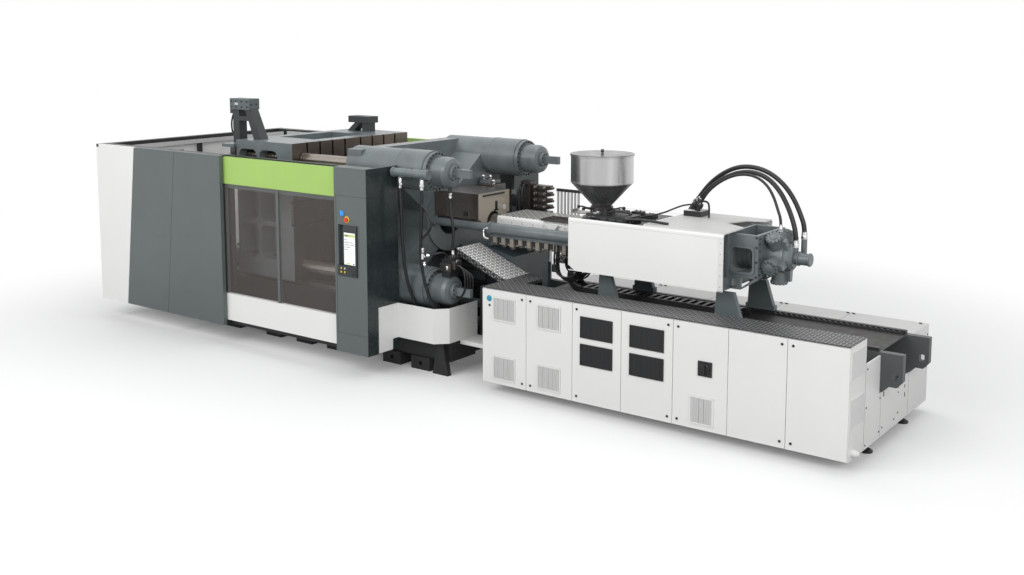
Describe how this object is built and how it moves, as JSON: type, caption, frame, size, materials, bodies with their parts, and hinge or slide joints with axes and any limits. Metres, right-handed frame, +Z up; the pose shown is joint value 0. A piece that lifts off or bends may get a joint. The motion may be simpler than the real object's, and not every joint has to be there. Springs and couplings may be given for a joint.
{
  "type": "injection moulding machine",
  "caption": "Injection moulding machine: guarded clamp unit with platens, tie bars and sliding gates, and an injection unit with barrel, hopper and drive on a cabinet base.",
  "frame": {"origin": "centre of the footprint on the floor", "axes": "+X from the clamp end to the injection end, +Y away from the operator, +Z up"},
  "size_m": [12.43, 3.906, 3.565],
  "materials": {
    "white_paint": "satin light grey-white powder coat",
    "grey_paint": "satin dark grey powder coat",
    "black_paint": "satin black paint",
    "green_paint": "satin green paint",
    "cast_paint": "blue-grey paint on rough castings",
    "beam_paint": "mid grey paint on welded beams",
    "machined_steel": "machined steel",
    "chrome": "hard chromed, ground",
    "stainless": "brushed stainless sheet",
    "tread": "tread plate",
    "rubber": "smooth hose cover",
    "smoky_window": "smoke tinted clear sheet",
    "grey_plastic": "moulded operator unit",
    "red_plastic": "gloss red",
    "blue_plastic": "illuminated blue",
    "key_plastic": "moulded key"
  },
  "bodies": {
    "root": {"base_beams": "beam_paint", "base_cabinets": "white_paint", "clamp_bed": "cast_paint", "clamp_cylinders": "cast_paint", "control_column": "white_paint", "cylinder_caps": "machined_steel", "grey_panels": "grey_paint", "guard_frame": "black_paint", "guard_panels": "white_paint", "guide_rails": "machined_steel", "hydraulic_blocks": "black_paint", "hydraulic_cylinders": "black_paint", "levelling_feet": "machined_steel", "operator_panel": "grey_plastic", "platen_hose_1": "rubber", "platen_hose_2": "rubber", "platen_hose_3": "rubber", "purge_guard": "smoky_window", "service_panels": "white_paint", "stationary_platen": "cast_paint", "tie_bars": "chrome", "tread_plates": "tread"},
    "platen": {"moving_platen": "cast_paint", "hose_towers": "cast_paint"},
    "front_locks": {"lock_halves_front": "machined_steel"},
    "rear_locks": {"lock_halves_rear": "machined_steel"},
    "ejector": {"ejector": "machined_steel"},
    "front_gate": {"front_gate_frame": "white_paint", "front_gate_window": "smoky_window", "front_gate_band": "green_paint"},
    "rear_gate": {"rear_gate_frame": "white_paint", "rear_gate_window": "smoky_window", "rear_gate_band": "green_paint"},
    "carriage": {"carriage_frame": "beam_paint", "barrel": "machined_steel", "hopper": "stainless", "unit_covers": "white_paint", "drive_housing": "cast_paint", "piston_motor": "black_paint", "motor_hose_1": "rubber", "motor_hose_2": "rubber", "motor_hose_3": "rubber"},
    "spindle": {"drive_spindle": "machined_steel"},
    "screw": {"screw": "machined_steel"},
    "shutoff": {"shutoff_slide": "machined_steel"},
    "lid": {"hopper_lid": "stainless"},
    "stop": {"stop_button": "red_plastic"},
    "start": {"start_button": "blue_plastic"},
    "handle": {"switch_handle": "red_plastic"},
    "door_1": {"cabinet_door_1": "white_paint"},
    "door_2": {"cabinet_door_2": "white_paint"},
    "door_3": {"cabinet_door_3": "white_paint"},
    "door_4": {"cabinet_door_4": "white_paint"},
    "door_5": {"cabinet_door_5": "white_paint"},
    "door_6": {"cabinet_door_6": "white_paint"},
    "door_7": {"cabinet_door_7": "white_paint"},
    "key_1": {"panel_key_1": "key_plastic"},
    "key_2": {"panel_key_2": "key_plastic"},
    "key_3": {"panel_key_3": "key_plastic"},
    "key_4": {"panel_key_4": "key_plastic"}
  },
  "joints": [
    {"name": "platen_slide", "type": "slide", "parent": "root", "child": "platen", "axis": [1, 0, 0], "range_m": [-2, 0.56]},
    {"name": "front_lock_slide", "type": "slide", "parent": "platen", "child": "front_locks", "axis": [0, 1, 0], "range_m": [0, 0.04]},
    {"name": "rear_lock_slide", "type": "slide", "parent": "platen", "child": "rear_locks", "axis": [0, -1, 0], "range_m": [0, 0.04]},
    {"name": "ejector_slide", "type": "slide", "parent": "platen", "child": "ejector", "axis": [1, 0, 0], "range_m": [0, 0.25]},
    {"name": "front_gate_slide", "type": "slide", "parent": "root", "child": "front_gate", "axis": [-1, 0, 0], "range_m": [0, 2.2]},
    {"name": "rear_gate_slide", "type": "slide", "parent": "root", "child": "rear_gate", "axis": [-1, 0, 0], "range_m": [0, 2.2]},
    {"name": "carriage_slide", "type": "slide", "parent": "root", "child": "carriage", "axis": [1, 0, 0], "range_m": [0, 0.8]},
    {"name": "injection_slide", "type": "slide", "parent": "carriage", "child": "spindle", "axis": [-1, 0, 0], "range_m": [0, 0.35]},
    {"name": "screw_turn", "type": "hinge", "parent": "spindle", "child": "screw", "pos_m": [1, 0, 1.9275], "axis": [1, 0, 0], "continuous": true},
    {"name": "shutoff_slide_move", "type": "slide", "parent": "carriage", "child": "shutoff", "axis": [-1, 0, 0], "range_m": [0, 0.12]},
    {"name": "lid_lift", "type": "slide", "parent": "carriage", "child": "lid", "axis": [0, 0, 1], "range_m": [0, 0.35]},
    {"name": "stop_press", "type": "slide", "parent": "root", "child": "stop", "axis": [0, 1, 0], "range_m": [0, 0.008]},
    {"name": "start_press", "type": "slide", "parent": "root", "child": "start", "axis": [0, 1, 0], "range_m": [0, 0.003], "stiffness_N_per_m": 400},
    {"name": "door_1_hinge", "type": "hinge", "parent": "root", "child": "door_1", "pos_m": [1.185, -1.417, 0.75], "axis": [0, 0, -1], "range_deg": [0, 85]},
    {"name": "door_2_hinge", "type": "hinge", "parent": "root", "child": "door_2", "pos_m": [2.547, -1.417, 0.75], "axis": [0, 0, 1], "range_deg": [0, 85]},
    {"name": "door_3_hinge", "type": "hinge", "parent": "root", "child": "door_3", "pos_m": [3.231, -1.417, 0.75], "axis": [0, 0, 1], "range_deg": [0, 85]},
    {"name": "door_4_hinge", "type": "hinge", "parent": "root", "child": "door_4", "pos_m": [3.237, -1.417, 0.75], "axis": [0, 0, -1], "range_deg": [0, 85]},
    {"name": "door_5_hinge", "type": "hinge", "parent": "root", "child": "door_5", "pos_m": [4.599, -1.417, 0.75], "axis": [0, 0, 1], "range_deg": [0, 85]},
    {"name": "door_6_hinge", "type": "hinge", "parent": "root", "child": "door_6", "pos_m": [4.605, -1.417, 0.75], "axis": [0, 0, -1], "range_deg": [0, 85]},
    {"name": "door_7_hinge", "type": "hinge", "parent": "root", "child": "door_7", "pos_m": [5.967, -1.417, 0.75], "axis": [0, 0, 1], "range_deg": [0, 85]},
    {"name": "handle_turn", "type": "hinge", "parent": "door_5", "child": "handle", "pos_m": [4.325, -1.44, 0.85], "axis": [0, 1, 0], "range_deg": [0, 90]},
    {"name": "key_1_press", "type": "slide", "parent": "root", "child": "key_1", "axis": [0, 1, 0], "range_m": [0, 0.003], "stiffness_N_per_m": 300},
    {"name": "key_2_press", "type": "slide", "parent": "root", "child": "key_2", "axis": [0, 1, 0], "range_m": [0, 0.003], "stiffness_N_per_m": 300},
    {"name": "key_3_press", "type": "slide", "parent": "root", "child": "key_3", "axis": [0, 1, 0], "range_m": [0, 0.003], "stiffness_N_per_m": 300},
    {"name": "key_4_press", "type": "slide", "parent": "root", "child": "key_4", "axis": [0, 1, 0], "range_m": [0, 0.003], "stiffness_N_per_m": 300}
  ],
  "couplings": [
    {"joint": "rear_lock_slide", "follows": "front_lock_slide", "ratio": 1}
  ]
}
